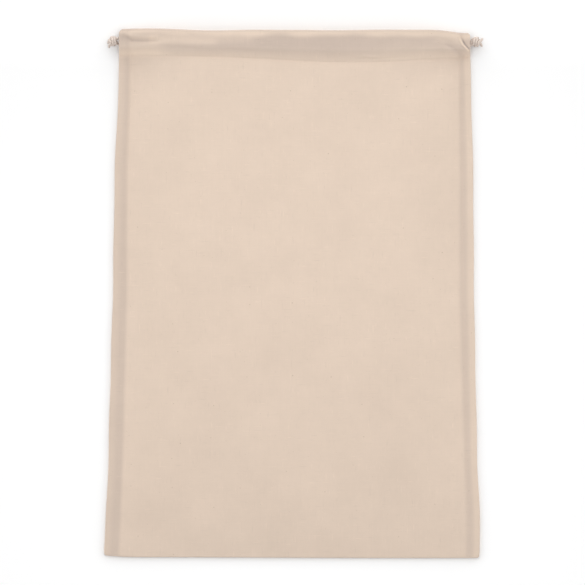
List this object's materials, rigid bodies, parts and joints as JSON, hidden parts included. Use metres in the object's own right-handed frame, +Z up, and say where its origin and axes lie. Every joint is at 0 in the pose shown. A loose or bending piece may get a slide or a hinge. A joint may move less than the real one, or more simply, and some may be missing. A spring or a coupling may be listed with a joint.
{
  "type": "cotton gift bag",
  "caption": "Flat unbleached cotton bag lying on its back, with stitched casings along its open top and drawcords knotted at the corners.",
  "frame": {"origin": "under the middle of the bag, on the surface that it lies on", "axes": "+Z up out of the front panel, +Y along the bag towards its open top, +X to the right seen from above"},
  "size_m": [0.3047, 0.4216, 0.0166],
  "materials": {
    "cotton_cloth": "plain-woven unbleached cotton, matt, with small slubs and seed specks",
    "cotton_cord": "twisted unbleached cotton cord, matt"
  },
  "bodies": {
    "root": {"bag_cloth": "cotton_cloth", "drawcord_left": "cotton_cord", "drawcord_right": "cotton_cord"}
  },
  "joints": []
}
